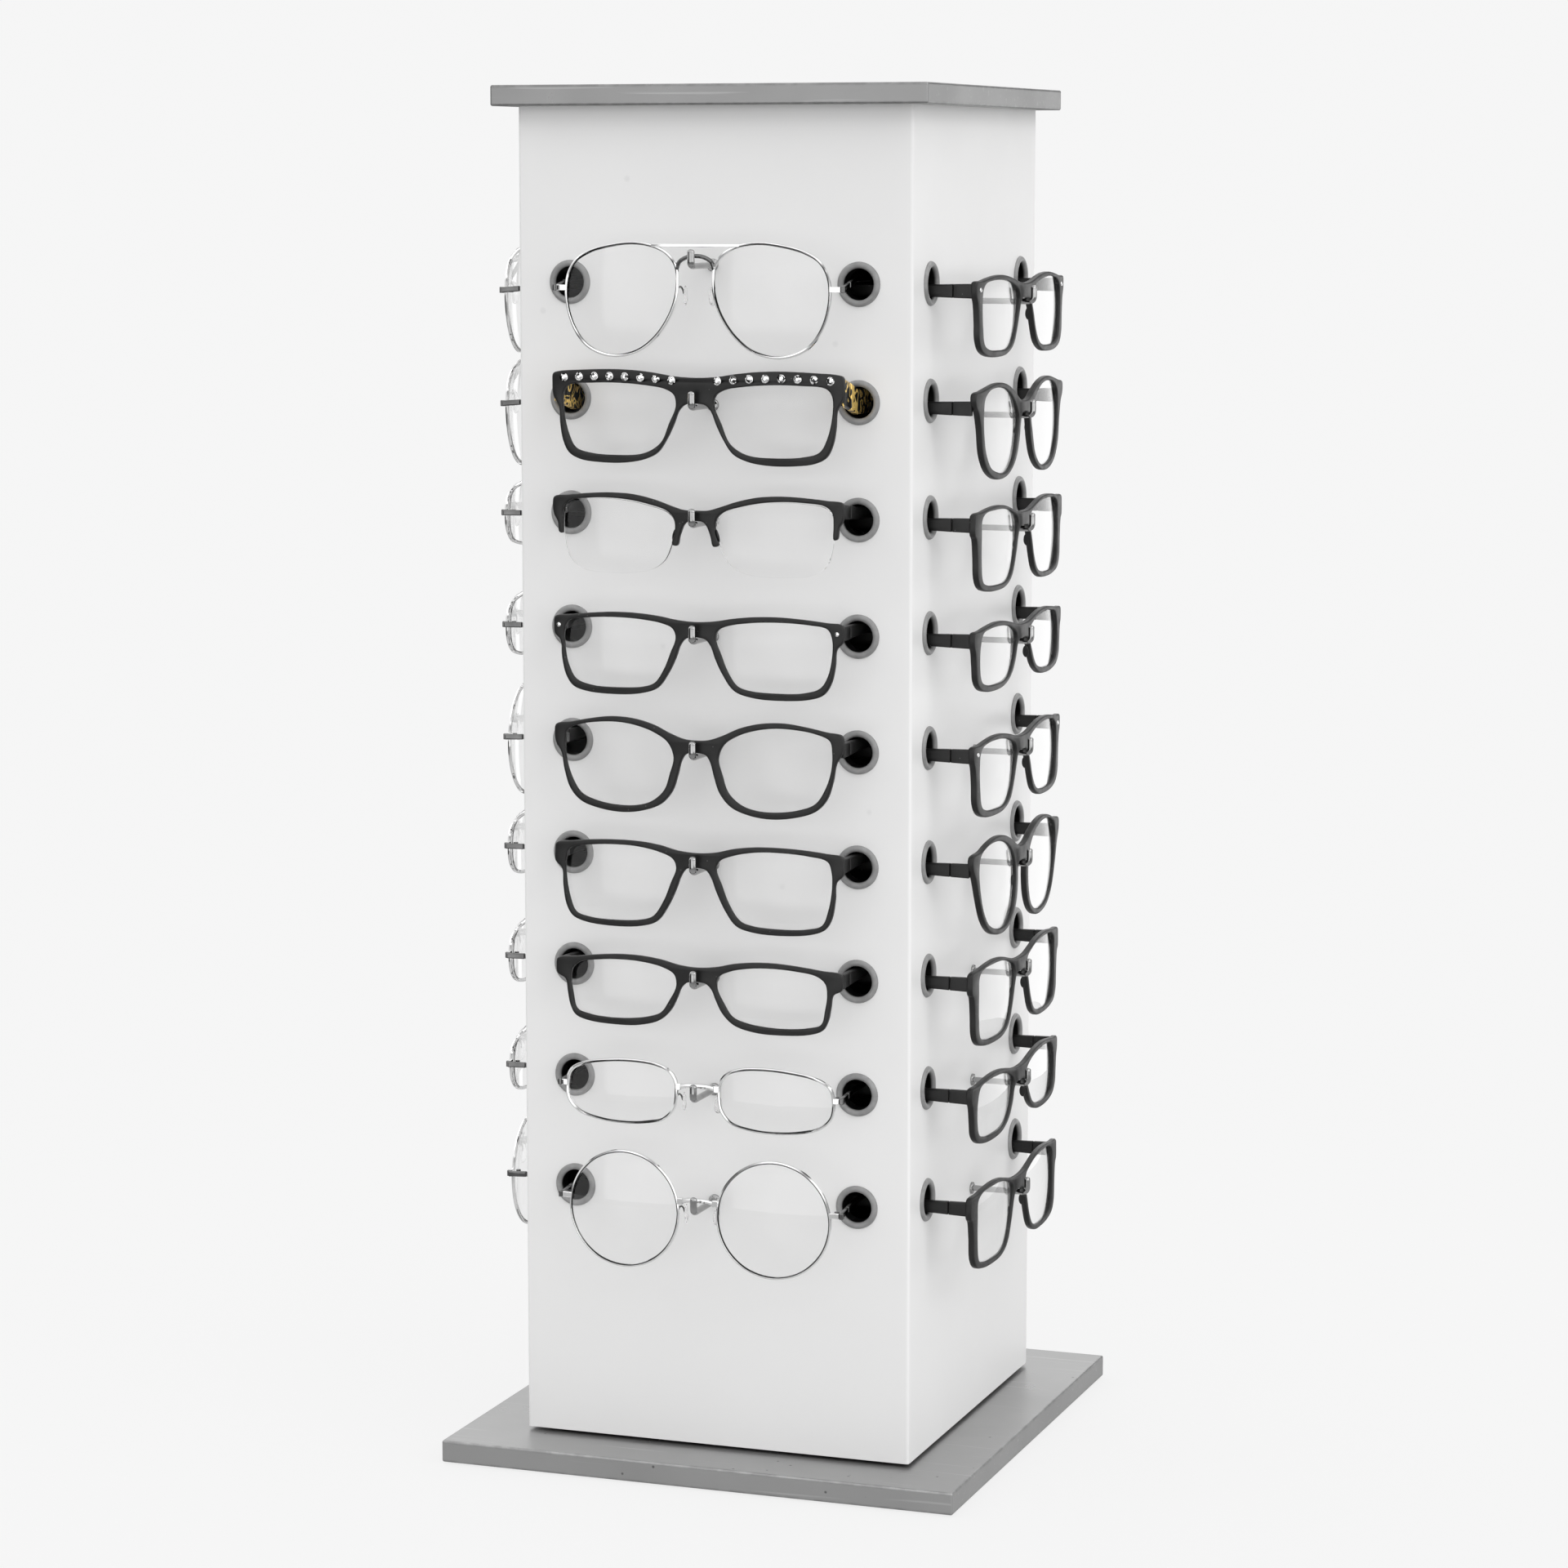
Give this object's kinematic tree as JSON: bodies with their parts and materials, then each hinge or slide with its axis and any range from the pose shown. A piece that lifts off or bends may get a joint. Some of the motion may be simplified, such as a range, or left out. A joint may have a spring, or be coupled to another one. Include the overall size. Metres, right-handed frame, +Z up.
{
  "type": "eyeglass display rack",
  "caption": "Four-sided countertop spectacle display: a white square column that turns on a flat metal base, with hooks and grommeted holes that carry eyeglasses on every face.",
  "frame": {"origin": "on the table, under the centre of the square base", "axes": "+Z up, -Y out of the front face of the column, +X out of its right face"},
  "size_m": [0.2522, 0.2522, 0.6423],
  "materials": {
    "base_metal": "satin, faint scratches",
    "foot_rubber": "matt",
    "bearing_steel": "zinc plated",
    "board_wood": "raw board",
    "panel_white": "satin white",
    "grommet_grey": "satin grey",
    "hook_chrome": "bright",
    "frame_black": "satin black",
    "frame_chrome": "bright",
    "temple_gold": "black with raised gold pattern",
    "lens_clear": "clear",
    "pad_clear": "translucent",
    "stone_clear": "faceted",
    "rivet_chrome": "bright"
  },
  "bodies": {
    "base": {"base_plate": "base_metal", "base_feet": "foot_rubber", "bearing_lower_plate": "bearing_steel", "bearing_balls": "bearing_steel", "bearing_base_screws": "bearing_steel"},
    "column": {"back_grommets": "grommet_grey", "back_hooks": "hook_chrome", "back_panel": "panel_white", "bearing_column_screws": "bearing_steel", "bearing_upper_plate": "bearing_steel", "brow_stones": "stone_clear", "column_bottom_board": "board_wood", "column_top_board": "board_wood", "corner_posts": "board_wood", "frame_front_1_wire_aviator": "frame_chrome", "frame_front_2_jewelled_flat_top": "frame_black", "frame_front_3_half_rim": "frame_black", "frame_front_4_soft_rectangle": "frame_black", "frame_front_5_soft_oval": "frame_black", "frame_front_6_square_ends": "frame_black", "frame_front_7_narrow_rectangle": "frame_black", "frame_front_8_wire_rectangle": "frame_chrome", "frame_front_9_wire_round": "frame_chrome", "frame_right_1_riveted_square": "frame_black", "frame_right_2_soft_round": "frame_black", "frame_right_3_large_rectangle": "frame_black", "frame_right_4_small_rectangle": "frame_black", "frame_right_5_riveted_square": "frame_black", "frame_right_6_tall_round": "frame_black", "frame_right_7_large_rectangle": "frame_black", "frame_right_8_small_rectangle": "frame_black", "frame_right_9_large_rectangle": "frame_black", "frames_back": "frame_black", "frames_left": "frame_chrome", "front_grommets": "grommet_grey", "front_hooks": "hook_chrome", "front_panel": "panel_white", "hook_nuts": "bearing_steel", "left_grommets": "grommet_grey", "left_hooks": "hook_chrome", "left_panel": "panel_white", "lenses_back": "lens_clear", "lenses_front": "lens_clear", "lenses_left": "lens_clear", "lenses_right": "lens_clear", "nose_pads": "pad_clear", "right_grommets": "grommet_grey", "right_hooks": "hook_chrome", "right_panel": "panel_white", "rivets": "rivet_chrome", "temple_hinges": "bearing_steel", "temples_back": "frame_black", "temples_front_black": "frame_black", "temples_front_gold": "temple_gold", "temples_front_wire": "frame_chrome", "temples_left": "frame_chrome", "temples_right": "frame_black", "top_plate": "base_metal", "top_plate_screws": "bearing_steel"}
  },
  "joints": [
    {"name": "column_spin", "type": "hinge", "parent": "base", "child": "column", "pos_m": [0, 0, 0.0154], "axis": [0, 0, 1], "continuous": true}
  ]
}
